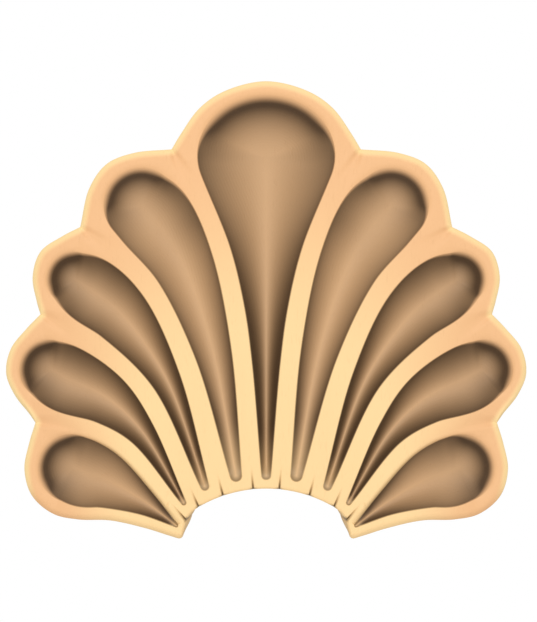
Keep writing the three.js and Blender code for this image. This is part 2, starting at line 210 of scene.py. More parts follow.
def smooth_curve(points: list[tuple[float, ...]], shares: np.ndarray) -> np.ndarray:
    """Places on a smooth curve through the points, in millimetres.

    Args:
        points: the points it runs through, in hundredths of the height.
        shares: where on the curve, from 0 at its first point to 1 at its last.

    Returns:
        One row for each share, with as many columns as a point has numbers.
    """
    through = np.array(points, float) * HEIGHT / 100
    ends = np.vstack([2 * through[0] - through[1], through, 2 * through[-1] - through[-2]])
    last = len(through) - 1
    at = np.clip(shares, 0, 1) * last
    start = np.minimum(at.astype(int), last - 1)
    along = (at - start)[:, None]
    stops = [ends[start + step] for step in range(4)]
    g0, g1, g2 = (
        np.maximum(np.sum((after - before) ** 2, axis=1, keepdims=True) ** 0.25, 1e-4)
        for before, after in zip(stops, stops[1:])
    )
    p0, p1, p2, p3 = stops
    leave = ((p1 - p0) / g0 - (p2 - p0) / (g0 + g1) + (p2 - p1) / g1) * g1
    arrive = ((p2 - p1) / g1 - (p3 - p1) / (g1 + g2) + (p3 - p2) / g2) * g1
    square = -3 * p1 + 3 * p2 - 2 * leave - arrive
    cube = 2 * p1 - 2 * p2 + leave + arrive
    return p1 + leave * along + square * along**2 + cube * along**3


def lengths_along(line: np.ndarray) -> np.ndarray:
    """Lengths from the start of a line of points to each of them."""
    return np.concatenate([[0.0], np.cumsum(np.linalg.norm(np.diff(line, axis=0), axis=1))])


def even_places(line: np.ndarray, shares: np.ndarray) -> np.ndarray:
    """Places at given shares of a line's length."""
    reach = lengths_along(line)
    return np.column_stack([np.interp(shares * reach[-1], reach, column) for column in line.T])


def stretch(points: list[Point], first: float, last: float, steps: int) -> np.ndarray:
    """Evenly spaced plan points on the stretch of a smooth curve between two of its shares."""
    dense = smooth_curve(points, np.linspace(first, last, DENSE_STEPS + 1))
    return even_places(dense, np.linspace(0, 1, steps + 1))


def on_circle(centre: np.ndarray, radius: float, angles: np.ndarray) -> np.ndarray:
    """Plan points round a centre."""
    return centre + radius * np.column_stack([np.cos(angles), np.sin(angles)])


def distance_to(points: np.ndarray, line: np.ndarray) -> np.ndarray:
    """Distances from plan points to the nearest stop of a line.

    Args:
        points: the points, with their coordinates along the last axis.
        line: the stops of the line, as rows of place and height above the plan.

    Returns:
        One distance for each point, in the points' own layout.
    """
    nearest = KDTree(len(line))
    for number, stop in enumerate(line.tolist()):
        nearest.insert(stop, number)
    nearest.balance()
    flat = [nearest.find((*point, 0.0))[2] for point in points.reshape(-1, 2).tolist()]
    return np.array(flat).reshape(points.shape[:-1])


def angle_near(vector: np.ndarray, heading: float) -> float:
    """The angle of a plan vector, within half a turn of a heading."""
    turn = math.atan2(vector[1], vector[0]) - heading
    return heading + math.atan2(math.sin(turn), math.cos(turn))


def round_lobe(parts: dict[Run, np.ndarray]) -> np.ndarray:
    """The four runs of a lobe joined into one loop, each without its last stop."""
    return np.concatenate([parts[run][:-1] for run in Run])


def placed(name: str, data: bpy.types.ID) -> bpy.types.Object:
    """Puts a new object in the scene.

    Args:
        name: the object's name.
        data: its mesh, lamp or camera.

    Returns:
        The object.
    """
    made = bpy.data.objects.new(name, data)
    bpy.context.scene.collection.objects.link(made)
    return made


@dataclass
class GougeTrack:
    """The track of the gouge that cuts one scoop, at even steps from foot to head."""

    centre: np.ndarray
    heading: np.ndarray
    opening: np.ndarray
    half_width: np.ndarray
    depth: np.ndarray


@dataclass
class EdgeLine:
    """One run of a scoop's edge.

    Attributes:
        edge: the points on the scoop's edge.
        spine: the points on the gouge's track that they belong to.
        depth: the scoop's depth at the spine points.
        softness: how rounded the edge is, from 0 for a crisp arris to 1 for a full roll.
    """

    edge: np.ndarray
    spine: np.ndarray
    depth: np.ndarray
    softness: np.ndarray


@dataclass
class Columns:
    """The columns of one lobe, clockwise; each runs from the outline over the land to the scoop's spine."""

    outer: np.ndarray
    edge: np.ndarray
    spine: np.ndarray
    facts: dict[str, np.ndarray]


@dataclass(frozen=True)
class Colour:
    """A colour given as it looks on a screen, from 0 to 255."""

    red: float
    green: float
    blue: float

    def linear(self) -> tuple[float, float, float, float]:
        """The colour as light, with a full alpha."""
        parts = [c / 255 for c in (self.red, self.green, self.blue)]
        return (*(p / 12.92 if p <= 0.04045 else ((p + 0.055) / 1.055) ** 2.4 for p in parts), 1.0)


class Field:
    """A value in a node tree that is reckoned with like a number."""

    def __init__(self, board: "Board", socket: bpy.types.NodeSocket) -> None:
        """Holds the socket that gives the value."""
        self.board = board
        self.socket = socket

    def reckon(self, operation: str, *others: Amount) -> "Field":
        """This value and others, in that order, put through an operation of the Math node."""
        return self.board.math(operation, self, *others)

    def __add__(self, other: Amount) -> "Field":
        """This value plus another."""
        return self.reckon("ADD", other)

    def __sub__(self, other: Amount) -> "Field":
        """This value less another."""
        return self.reckon("SUBTRACT", other)

    def __rsub__(self, other: float) -> "Field":
        """A number less this value."""
        return self.board.math("SUBTRACT", other, self)

    def __mul__(self, other: Amount) -> "Field":
        """This value times another."""
        return self.reckon("MULTIPLY", other)

    def __truediv__(self, other: Amount) -> "Field":
        """This value divided by another."""
        return self.reckon("DIVIDE", other)

    def __rtruediv__(self, other: float) -> "Field":
        """A number divided by this value."""
        return self.board.math("DIVIDE", other, self)

    def __pow__(self, power: Amount) -> "Field":
        """This value to a power."""
        return self.reckon("POWER", power)

    def lower(self, other: Amount) -> "Field":
        """The lower of two values."""
        return self.reckon("MINIMUM", other)

    def higher(self, other: Amount) -> "Field":
        """The higher of two values."""
        return self.reckon("MAXIMUM", other)

    def over(self, limit: float) -> "Field":
        """1 where the value is over a limit, and 0 elsewhere."""
        return self.reckon("GREATER_THAN", limit)

    def toward(self, other: Amount, share: "Field") -> "Field":
        """This value moved a share of the way to another."""
        return self + (self * -1 + other) * share

    def smooth(self, low: float, high: float) -> "Field":
        """A smooth rise of this value.

        Args:
            low: the value up to which it gives 0.
            high: the value from which it gives 1.

        Returns:
            The share between them.
        """
        inputs = {"Value": self, "From Min": low, "From Max": high}
        node = self.board.add("ShaderNodeMapRange", inputs, interpolation_type="SMOOTHSTEP")
        return Field(self.board, node.outputs[0])


class Board:
    """A node tree that is being built."""

    def __init__(self, tree: bpy.types.NodeTree) -> None:
        """Starts on a tree."""
        self.tree = tree

    def feed(self, node: bpy.types.Node, inputs: Inputs) -> None:
        """Gives a node its inputs.

        Args:
            node: the node.
            inputs: for each input a field, a socket, a colour or a plain value.
        """
        for key, value in inputs.items():
            if isinstance(value, Field):
                value = value.socket
            if isinstance(value, bpy.types.NodeSocket):
                self.tree.links.new(value, node.inputs[key])
            else:
                node.inputs[key].default_value = value.linear() if isinstance(value, Colour) else value

    def add(self, kind: str, inputs: Optional[Inputs] = None, **settings: object) -> bpy.types.Node:
        """Adds a node.

        Args:
            kind: the node's type.
            inputs: what its inputs take.
            settings: its own settings, which are set first.

        Returns:
            The new node.
        """
        node = self.tree.nodes.new(kind)
        for name, value in settings.items():
            setattr(node, name, value)
        self.feed(node, inputs or {})
        return node

    def math(self, operation: str, *values: Amount) -> Field:
        """The result of a Math node."""
        node = self.add("ShaderNodeMath", dict(enumerate(values)), operation=operation)
        return Field(self, node.outputs[0])

    def mix(self, start: object, end: object, share: Field) -> bpy.types.NodeSocket:
        """A share of the way from one colour to another."""
        inputs = {0: share, 6: start, 7: end}
        return self.add("ShaderNodeMix", inputs, data_type="RGBA", blend_type="MIX").outputs[2]


@dataclass
class ReliefTree:
    """The node tree that raises a flat plan into the carved board, and closes it with walls and a back."""

    name: str = "raise_relief"
    sizes: dict[str, float] = field(default_factory=lambda: {
        "Roll Width": 2.2 * MM,
        "Arris Radius": ARRIS * MM,
        "Span Limit": SPAN_LIMIT,
        "Crisp Power": 2.0,
        "Soft Power": 2.7,
        "Onset Slope": 0.4,
        "Onset Reach": 1.5,
    })
    sharp_angle: float = math.radians(50)
    back_facing: float = 0.9
    weld: float = 1e-6

    def attribute(self, board: Board, name: str) -> Field:
        """A named point attribute of the plan."""
        node = board.add("GeometryNodeInputNamedAttribute", {"Name": name}, data_type="FLOAT")
        return Field(board, node.outputs[0])

    def height(self, board: Board, size: dict[str, Field]) -> Field:
        """The height above the back by the carver's rule.

        Args:
            board: the tree that is being built.
            size: the tree's named inputs.

        Returns:
            The height at each point of the plan.
        """
        fact = {name: self.attribute(board, name) for name in ShellCarving.FACTS}
        span, soft, share = fact["land_span"], fact["softness"], fact["scoop_share"]
        from_outer = fact["land_share"] * span
        to_edge = span - from_outer
        limit = span * size["Span Limit"]
        near_outer = (from_outer / fact["edge_width"].lower(limit)).lower(1)
        crest = (1 - near_outer) ** 2
        bowl = (1 - near_outer * near_outer) ** 2
        near_edge = (1 - to_edge / size["Roll Width"].lower(limit)).higher(0)
        arris = size["Arris Radius"].lower(span * ARRIS_LIMIT)
        near_arris = (1 - to_edge / arris).higher(0)
        quarter = (1 - near_arris * near_arris).higher(0).reckon("SQRT")
        dip = fact["edge_drop"] * crest.toward(bowl, fact["valley"])
        rolled_down = fact["rim_roll"] * near_edge * near_edge
        land = fact["rib_top"] - dip - rolled_down - arris * (1 - soft) * (1 - quarter)
        crisp = 1 - (1 - share) ** size["Crisp Power"]
        radius = self.attribute(board, CarvedTone.REACH.value)
        slope, reach = size["Onset Slope"] / radius, size["Onset Reach"] / radius
        eased = share * (share + slope) / (share + reach) * (reach + 1) / (slope + 1)
        rolled = 1 - (1 - eased).higher(0) ** size["Soft Power"]
        return land + (fact["scoop_floor"] - land) * crisp.toward(rolled, soft)

    def build(self, front: bpy.types.Material, back: bpy.types.Material) -> bpy.types.NodeTree:
        """Builds the tree.

        Args:
            front: the finish of the carved front and the edge.
            back: the finish of the flat back.

        Returns:
            The finished node tree.
        """
        tree = bpy.data.node_groups.new(self.name, "GeometryNodeTree")
        face = tree.interface
        for way in ("INPUT", "OUTPUT"):
            face.new_socket(name="Geometry", in_out=way, socket_type="NodeSocketGeometry")
        for label, value in self.sizes.items():
            face.new_socket(name=label, in_out="INPUT", socket_type="NodeSocketFloat").default_value = value
        board = Board(tree)
        start = board.add("NodeGroupInput")
        size = {label: Field(board, start.outputs[label]) for label in self.sizes}
        lift = board.add("ShaderNodeCombineXYZ", {"Y": self.height(board, size) * -1})
        raised = board.add("GeometryNodeSetPosition", {
            "Geometry": start.outputs["Geometry"],
            "Offset": lift.outputs[0],
        })

        place = board.add("ShaderNodeSeparateXYZ", {0: board.add("GeometryNodeInputPosition").outputs[0]})
        facing = board.add("ShaderNodeSeparateXYZ", {0: board.add("GeometryNodeInputNormal").outputs[0]})
        neighbours = board.add("GeometryNodeInputMeshEdgeNeighbors")
        border = Field(board, neighbours.outputs["Face Count"]).reckon("COMPARE", 1, 0.1)
        walls = board.add("GeometryNodeExtrudeMesh", {
            "Mesh": raised.outputs[0],
            "Selection": border,
            "Offset Scale": 0.0,
        }, mode="EDGES")
        foot = board.add("ShaderNodeCombineXYZ", {
            "X": Field(board, place.outputs["X"]) + self.attribute(board, "draft"),
            "Z": place.outputs["Z"],
        })
        dropped = board.add("GeometryNodeSetPosition", {
            "Geometry": walls.outputs["Mesh"],
            "Selection": walls.outputs["Top"],
            "Position": foot.outputs[0],
        })
        clean = board.add("GeometryNodeStoreNamedAttribute", {
            "Name": CarvedTone.CREASE.value,
            "Geometry": dropped.outputs[0],
            "Selection": walls.outputs["Top"],
        })

        loop = board.add("GeometryNodeMeshToCurve", {
            "Mesh": clean.outputs[0],
            "Selection": walls.outputs["Top"],
        })
        laid = self.turned(board, loop.outputs[0], math.radians(90))
        filled = board.add("GeometryNodeFillCurve", {0: laid})
        joined = board.add("GeometryNodeJoinGeometry", {
            0: self.turned(board, filled.outputs[0], math.radians(-90)),
        })
        board.feed(joined, {0: clean.outputs[0]})
        welded = board.add("GeometryNodeMergeByDistance", {
            "Geometry": joined.outputs[0],
            "Distance": self.weld,
        })

        bend = Field(board, board.add("GeometryNodeInputMeshEdgeAngle").outputs["Unsigned Angle"])
        creased = board.add("GeometryNodeStoreNamedAttribute", {
            "Name": "sharp_edge",
            "Geometry": welded.outputs[0],
            "Value": bend.over(self.sharp_angle),
        }, domain="EDGE", data_type="BOOLEAN")
        whole = board.add("GeometryNodeRealizeInstances", {0: creased.outputs[0]})
        dressed = board.add("GeometryNodeSetMaterial", {"Geometry": whole.outputs[0], "Material": front})
        backed = board.add("GeometryNodeSetMaterial", {
            "Geometry": dressed.outputs[0],
            "Material": back,
            "Selection": Field(board, facing.outputs["Y"]).over(self.back_facing),
        })
        board.add("NodeGroupOutput", {"Geometry": backed.outputs[0]})
        return tree

    def turned(self, board: Board, geometry: bpy.types.NodeSocket, angle: float) -> bpy.types.NodeSocket:
        """The geometry turned about the X axis."""
        inputs = {"Geometry": geometry, "Rotation": (angle, 0, 0)}
        return board.add("GeometryNodeTransform", inputs).outputs[0]


@dataclass
class ShellCarving:
    """The whole carving: nine scooped lobes on one flat-backed board. Sizes are in millimetres."""

    FACTS = (
        "land_share", "scoop_share", "land_span", "rib_top", "edge_drop", "edge_width",
        "rim_roll", "softness", "valley", "scoop_floor",
    )
    LENGTHS = ("land_span", "rib_top", "edge_drop", "edge_width", "rim_roll", "scoop_floor", "draft")
    lobes: tuple[Lobe, ...] = (MIDDLE, SECOND, THIRD, FOURTH, LOWEST)
    crown_fall: float = 1.8
    notch_fall: float = 0.8
    head_roll: float = 0.8
    low_rib_slope: float = 2.2
    lean_start: float = 0.12
    edge_width: float = 2.4
    edge_drop: float = 1.2
    valley_length: float = 17.0
    valley_width: float = 6.0
    valley_start: float = 2.5
    groove_length: float = 10.0
    groove_width: float = 1.0
    groove_drop: float = 1.8
    notch_edge: float = 0.5
    foot_edge: float = 1.4
    foot_draft: float = 1.5
    tip_ramp: float = 6.0
    tip_start: float = 1.0
    levelling: float = 1.25
    bend_start: float = 0.68
    notch_pull: float = 0.15
    shoulder_turn: float = 0.05
    spine_hold: float = 0.03
    soft_turns: tuple[float, float] = (math.radians(45), math.radians(92))
    soft_share: float = 0.12
    highlight_end: float = 4.0
    # how the painted shade in the scoops thins: its power, its range, and how much less of it lies at the
    # feet
    shade_power: float = 1.3
    thinning_range: tuple[float, float] = (0.3, 3.0)
    foot_thinning: float = 0.55
    track_stops: int = 400
    head_stops: int = 200
    side_steps: int = 64
    crown_steps: int = 72
    foot_steps: int = 12
    round_rows: int = 6
    flat_rows: int = 5
    arris_rows: int = 3
    scoop_rows: int = 18
    end_crowding: float = 0.4
    row_crowding: float = 0.7

    def track(self, lobe: Lobe) -> GougeTrack:
        """The gouge's track along one scoop.

        Args:
            lobe: the lobe that the scoop is in.

        Returns:
            The track, with the scoop's width and depth at each step.
        """
        dense = smooth_curve(list(lobe.scoop), np.linspace(0, 1, 2 * DENSE_STEPS + 1))
        at = even_places(dense, np.linspace(0, 1, self.track_stops + 1))
        move = np.gradient(at, axis=0)
        growth = move[:, 2] / np.hypot(move[:, 0], move[:, 1])
        from_foot = lengths_along(at[:, :2])
        widest = np.maximum.accumulate(at[:, 2])
        level = 1 - (1 - (widest / widest[-1]) ** lobe.taper) ** self.levelling
        ramp = np.minimum(1, (from_foot + self.tip_start) / self.tip_ramp)
        return GougeTrack(
            centre=at[:, :2],
            heading=np.arctan2(move[:, 1], move[:, 0]),
            opening=np.arccos(-growth),
            half_width=at[:, 2],
            depth=(THICKNESS - BACKING) * lobe.deepest * level * np.sin(np.pi / 2 * ramp),
        )

    def softness(self, turn: np.ndarray, lobe: Lobe) -> np.ndarray:
        """How rounded a scoop's edge is where it faces a given angle off the scoop's heading."""
        full, none = self.soft_turns
        return ease(np.clip((none - np.abs(turn - lobe.lean)) / (none - full), 0, 1))

    def long_side(self, track: GougeTrack, lobe: Lobe, sign: float, corner_angle: float) -> np.ndarray:
        """One long side of a scoop's edge, from the foot to the corner where the head starts.

        Args:
            track: the gouge's track.
            lobe: the lobe that the scoop is in.
            sign: 1 for the inner side and -1 for the outer one.
            corner_angle: the angle from the head's centre to the corner.

        Returns:
            Rows of edge point, share of the track and softness.
        """
        stops = np.linspace(0, 1, len(track.centre))
        angles = track.heading + sign * track.opening
        reach = track.half_width[:, None] * np.column_stack([np.cos(angles), np.sin(angles)])
        turn = np.linspace(angles[-1], corner_angle, self.track_stops)[1:]
        head = on_circle(track.centre[-1], track.half_width[-1], turn)
        line = np.vstack([track.centre + reach, head]) * (lobe.splay, 1.0)
        near_head = np.append(np.clip(1 - (1 - stops) / self.soft_share, 0, 1), np.ones(len(turn)))
        off_heading = np.append(sign * track.opening, turn - track.heading[-1])
        whole = np.column_stack([
            line,
            np.append(stops, np.ones(len(turn))),
            self.softness(off_heading, lobe) * ease(near_head),
        ])
        length = lengths_along(line)
        even = np.linspace(0, 1, self.side_steps + 1)
        shares = (1 - self.end_crowding) * even + self.end_crowding / 2 * (1 - np.cos(np.pi * even))
        return np.column_stack([np.interp(shares * length[-1], length, column) for column in whole.T])

    def scoop_edge(self, track: GougeTrack, lobe: Lobe, inner_corner: np.ndarray, outer_corner: np.ndarray
                   ) -> dict[Run, EdgeLine]:
        """The scoop's edge in four runs, clockwise from its foot.

        Args:
            track: the gouge's track.
            lobe: the lobe that the scoop is in.
            inner_corner: the outline's corner where the head starts.
            outer_corner: the outline's corner where the head ends.

        Returns:
            The edge line of each run.
        """
        wider = np.array([lobe.splay, 1.0])
        head, heading = track.centre[-1], track.heading[-1]
        round_off = track.opening[-1] - self.shoulder_turn
        inner_angle = min(angle_near(inner_corner / wider - head, heading), heading + round_off)
        outer_angle = max(angle_near(outer_corner / wider - head, heading), heading - round_off)

        def arc(stop: int, first: float, last: float, steps: int) -> EdgeLine:
            """An arc about one stop of the track.

            Args:
                stop: the number of the stop.
                first: the angle at which the arc starts.
                last: the angle at which it ends.
                steps: how many steps it has.

            Returns:
                The arc as a run of the edge.
            """
            angles = np.linspace(first, last, steps + 1)
            return EdgeLine(
                edge=on_circle(track.centre[stop], track.half_width[stop], angles) * wider,
                spine=np.tile(track.centre[stop], (steps + 1, 1)),
                depth=np.full(steps + 1, track.depth[stop]),
                softness=self.softness(angles - track.heading[stop], lobe),
            )

        inner = self.long_side(track, lobe, 1.0, inner_angle)
        outer = self.long_side(track, lobe, -1.0, outer_angle)
        passed = 1 - (inner[:, 2] + outer[:, 2]) / 2
        shared = 1 - passed * passed / (passed + self.spine_hold) * (1 + self.spine_hold)
        stops = np.linspace(0, 1, len(track.centre))
        spine = np.column_stack([np.interp(shared, stops, column) for column in track.centre.T])
        depth = np.interp(shared, stops, track.depth)
        start, opening = track.heading[0], track.opening[0]
        return {
            Run.INNER: EdgeLine(inner[:, :2], spine, depth, inner[:, 3]),
            Run.CROWN: arc(-1, inner_angle, outer_angle, self.crown_steps),
            Run.OUTER: EdgeLine(outer[::-1, :2], spine[::-1], depth[::-1], outer[::-1, 3]),
            Run.TOE: arc(0, start - opening, start + opening - 2 * np.pi, self.foot_steps),
        }

    def notch_point(self, degrees: float) -> np.ndarray:
        """The plan point on the notch's arc at an angle from upright."""
        angle = math.radians(degrees)
        return plan_point((NOTCH_RADIUS * math.sin(angle), NOTCH_CENTRE + NOTCH_RADIUS * math.cos(angle)))

    def rib_line(self, before: np.ndarray, after: np.ndarray, start: np.ndarray, end: np.ndarray
                 ) -> np.ndarray:
        """The middle of the rib between two scoops, from the notch to the cusp.

        Args:
            before: the outer side of the scoop nearer the middle.
            after: the inner side of the scoop farther out.
            start: the groove at the notch.
            end: the cusp.

        Returns:
            The line of the rib's middle.
        """
        middle = (before + after) / 2
        reach = lengths_along(middle)
        along = (reach / reach[-1])[:, None]
        start_pull = np.maximum(0, 1 - along / self.notch_pull) ** 2
        end_pull = np.maximum(0, (along - self.bend_start) / (1 - self.bend_start)) ** 2
        return middle + (start - middle[0]) * start_pull + (end - middle[-1]) * end_pull

    def toe_line(self, k: int) -> np.ndarray:
        """The foot of a lobe along the notch, from its outer groove to its inner one.

        Args:
            k: the lobe's number from the middle.

        Returns:
            Evenly spaced plan points.
        """
        last = len(self.lobes) - 1
        if k == last:
            return stretch([FOOT_CORNER, LAST_TOE, LAST_GROOVE], 0, 1, self.foot_steps)
        inner = -GROOVE_ANGLES[0] if k == 0 else GROOVE_ANGLES[k - 1]
        if k == last - 1:
            arc_end = tuple(self.notch_point(inner) * 100 / HEIGHT)
            return stretch([LAST_GROOVE, NOTCH_END, arc_end], 0, 1, self.foot_steps)
        angles = np.linspace(GROOVE_ANGLES[k], inner, self.foot_steps + 1)
        return np.array([self.notch_point(angle) for angle in angles])

    def outlines(self, edges: list[dict[Run, EdgeLine]]) -> list[dict[Run, np.ndarray]]:
        """The outline of each lobe of the right half.

        Args:
            edges: the edge of each lobe's scoop.

        Returns:
            For each lobe the outline, in the runs that match its scoop's edge.
        """
        grooves = [*(self.notch_point(angle) for angle in GROOVE_ANGLES), plan_point(LAST_GROOVE)]
        ribs = [
            self.rib_line(near[Run.OUTER].edge[::-1], far[Run.INNER].edge, groove, plan_point(cusp))
            for near, far, groove, cusp in zip(edges, edges[1:], grooves, CUSPS)
        ]
        crown = self.lobes[-1].crown
        under = [CUSPS[-1], *crown, HEEL, *UNDERSIDE, FOOT_CORNER]
        heel_at = (len(crown) + 1) / (len(crown) + len(UNDERSIDE) + 2)
        corners = [(-CUSPS[0][0], CUSPS[0][1]), *CUSPS]
        result = [
            {
                Run.INNER: mirrored(ribs[0]) if k == 0 else ribs[k - 1],
                Run.CROWN: stretch([corners[k], *lobe.crown, corners[k + 1]], 0, 1, self.crown_steps),
                Run.OUTER: ribs[k][::-1],
                Run.TOE: self.toe_line(k),
            }
            for k, lobe in enumerate(self.lobes[:-1])
        ]
        result.append({
            Run.INNER: ribs[-1],
            Run.CROWN: stretch(under, 0, heel_at, self.crown_steps),
            Run.OUTER: stretch(under, heel_at, 1, self.side_steps),
            Run.TOE: self.toe_line(len(self.lobes) - 1),
        })
        return result

    def rib_top(self, along: Union[np.ndarray, float]) -> Union[np.ndarray, float]:
        """The height of a rib's top above the back.

        Args:
            along: where on the rib, from 0 at the notch to 1 at the crown.

        Returns:
            The height there.
        """
        to_crown = np.maximum(0, 2 * along - 1)
        to_notch = np.maximum(0, 1 - 2 * along)
        return THICKNESS - self.crown_fall * to_crown**2 - self.notch_fall * to_notch**2

    def side_facts(self, line: np.ndarray, lean: float, dipped: bool) -> dict[str, np.ndarray]:
        """How the land is shaped along one side of a lobe.

        Args:
            line: the outline there, from the notch to the cusp.
            lean: how far the rib leans into the scoop at its middle.
            dipped: True where a neighbouring lobe shares the rib.

        Returns:
            The land's sizes at each point of the line.
        """
        reach = lengths_along(line)
        along = reach / reach[-1]
        facts = {
            "rib_top": self.rib_top(along),
            "rim_roll": lean * np.sin(np.pi * np.minimum(1, along + self.lean_start)),
            CarvedTone.RISE.value: along,
        }
        if dipped:
            to_cusp = reach[-1] - reach
            to_groove_end = np.maximum(0, 1 - reach / self.groove_length)
            groove = to_groove_end**3
            nearness = np.maximum(0, 1 - to_cusp / self.valley_length)
            widen = np.minimum(1, to_cusp / self.valley_length)
            facts["edge_drop"] = self.groove_drop * groove + self.edge_drop * nearness**1.5
            facts["edge_width"] = np.where(
                groove > 0, self.groove_width * (1 + to_groove_end) / 2,
                self.edge_width + (self.valley_width - self.edge_width) * widen)
            facts[CarvedTone.CREASE.value] = groove
            facts["valley"] = np.where(groove > 0, 0.0, np.minimum(1, to_cusp / self.valley_start))
        return facts

    def toe_facts(self, k: int, line: np.ndarray) -> dict[str, np.ndarray]:
        """How the land is shaped along a lobe's foot, from its outer groove or corner to its inner groove.

        Args:
            k: the lobe's number from the middle.
            line: the outline there.

        Returns:
            The land's sizes at each point of the line.
        """
        lowest = k == len(self.lobes) - 1
        reach = lengths_along(line)
        to_end = reach[-1] - reach
        along = np.linspace(0, 1, len(line))
        from_groove = to_end if lowest else np.minimum(reach, to_end)
        groove = np.maximum(0, 1 - from_groove / self.groove_width)
        corner = 1 - along if lowest else np.zeros_like(along)
        edge = self.notch_edge + (self.foot_edge - self.notch_edge) * corner**3
        facts = {
            "rib_top": np.full_like(along, self.rib_top(0.0)),
            "edge_drop": edge + (self.groove_drop - edge) * groove,
            "edge_width": np.full_like(along, self.groove_width),
            CarvedTone.CREASE.value: groove,
        }
        if k >= len(self.lobes) - 2:
            facts["draft"] = -self.foot_draft * np.sin(np.pi / 2 * (along if lowest else 1 - along))
        return facts

    def columns(self, k: int, edge: dict[Run, EdgeLine], outline: dict[Run, np.ndarray]) -> Columns:
        """One lobe's columns, clockwise.

        Args:
            k: the lobe's number from the middle.
            edge: its scoop's edge.
            outline: its outline.

        Returns:
            The columns with the sizes of the land and the scoop at each.
        """
        lowest = k == len(self.lobes) - 1
        outer = self.side_facts(outline[Run.OUTER][::-1], 0.0, not lowest)
        if lowest:
            share = np.linspace(1, 0, len(outline[Run.OUTER]))
            outer["edge_drop"] = self.edge_drop + (self.foot_edge - self.edge_drop) * share
            outer["edge_width"] = np.full(len(share), self.edge_width)
        ring = len(outline[Run.CROWN])
        shapes = {
            Run.INNER: self.side_facts(outline[Run.INNER], self.low_rib_slope if lowest else 0.0, True),
            Run.CROWN: {
                "rib_top": np.full(ring, self.rib_top(1.0)),
                CarvedTone.RISE.value: np.ones(ring),
                "edge_drop": np.full(ring, self.edge_drop),
                "edge_width": np.full(ring, self.edge_width),
            },
            Run.OUTER: {name: values[::-1] for name, values in outer.items()},
            Run.TOE: self.toe_facts(k, outline[Run.TOE]),
        }
        names = ("rib_top", "rim_roll", "edge_drop", "edge_width", "valley", "draft",
                 CarvedTone.RISE.value, CarvedTone.CREASE.value)
        facts = {
            name: round_lobe({run: shapes[run].get(name, np.zeros(len(outline[run]))) for run in Run})
            for name in names
        }
        facts["scoop_floor"] = THICKNESS - round_lobe({run: edge[run].depth for run in Run})
        facts["softness"] = round_lobe({run: edge[run].softness for run in Run})
        facts["rim_roll"] = facts["rim_roll"] + self.head_roll * facts["softness"]
        return Columns(
            outer=round_lobe(outline),
            edge=round_lobe({run: edge[run].edge for run in Run}),
            spine=round_lobe({run: edge[run].spine for run in Run}),
            facts=facts,
        )

    def land_rows(self, span: np.ndarray, width: np.ndarray) -> np.ndarray:
        """Shares of the land's width at which it has rows, closer where it is rounded.

        Args:
            span: the land's width at each column.
            width: how wide its outer rounding is.

        Returns:
            One line of shares for each column.
        """
        rounding = np.minimum(width, SPAN_LIMIT * span)[:, None]
        arris = np.minimum(ARRIS, ARRIS_LIMIT * span)[:, None]
        turn = np.linspace(0, np.pi / 2, self.round_rows + 1)[None, :]
        first = rounding * (1 - np.cos(turn))
        steps = np.linspace(0, 1, self.flat_rows + 1)[None, 1:]
        second = rounding + (span[:, None] - arris - rounding) * steps
        quarter = np.linspace(0, np.pi / 2, self.arris_rows + 1)[None, 1:]
        third = span[:, None] - arris * (1 - np.sin(quarter))
        shares = np.hstack([first, second, third]) / span[:, None]
        shares[:, 0], shares[:, -1] = 0.0, 1.0
        return shares

    def lobe_grid(self, columns: Columns) -> tuple[np.ndarray, dict[str, np.ndarray]]:
        """The plan points of one lobe and what the carver's rule needs at each.

        Args:
            columns: the lobe's columns.

        Returns:
            Plan points as (column, row, 2), and each fact as (column, row).
        """
        span = np.linalg.norm(columns.edge - columns.outer, axis=1)
        radius = np.linalg.norm(columns.spine - columns.edge, axis=1)
        land = self.land_rows(span, columns.facts["edge_width"])
        turn = np.linspace(0, np.pi / 2, self.scoop_rows + 1)[1:]
        rows = self.row_crowding * (1 - np.cos(turn)) + (1 - self.row_crowding) * turn / (np.pi / 2)
        scoop = np.tile(rows, (len(span), 1))
        land_share = np.hstack([land, np.ones_like(scoop)])
        scoop_share = np.hstack([np.zeros_like(land), scoop])
        on_land = columns.outer[:, None] + (columns.edge - columns.outer)[:, None] * land[..., None]
        in_scoop = columns.edge[:, None] + (columns.spine - columns.edge)[:, None] * scoop[..., None]
        one_each = {**columns.facts, "land_span": span, CarvedTone.REACH.value: radius}
        rows_each = land_share.shape[1]
        facts = {name: np.repeat(values[:, None], rows_each, axis=1) for name, values in one_each.items()}
        facts["land_share"] = land_share
        facts["scoop_share"] = scoop_share
        from_outer = land_share * facts["land_span"]
        facts[CarvedTone.CREASE.value] *= np.maximum(0, 1 - from_outer / facts["edge_width"])
        facts[CarvedTone.RING.value] = scoop_share * radius[:, None] - (1 - land_share) * span[:, None]
        return np.concatenate([on_land, in_scoop], axis=1), facts

    def pool_line(self, edge: dict[Run, EdgeLine], lobe: Lobe) -> np.ndarray:
        """The rolled part of a scoop's edge, lifted off the plan where the roll fades out.

        Args:
            edge: the scoop's edge.
            lobe: the lobe that the scoop is in.

        Returns:
            Evenly spaced rows of place and height.
        """
        inner, outer = lobe.pool_fades
        middle = np.linspace(inner, outer, self.crown_steps + 1)
        fades = ((edge[Run.INNER], inner), (edge[Run.CROWN], middle), (edge[Run.OUTER], outer))
        around = np.vstack([np.column_stack([line.edge, fade * (1 - line.softness)]) for line, fade in fades])
        rolled = np.concatenate([line.softness for line, _ in fades]) > 0
        return even_places(around[rolled], np.linspace(0, 1, self.head_stops))

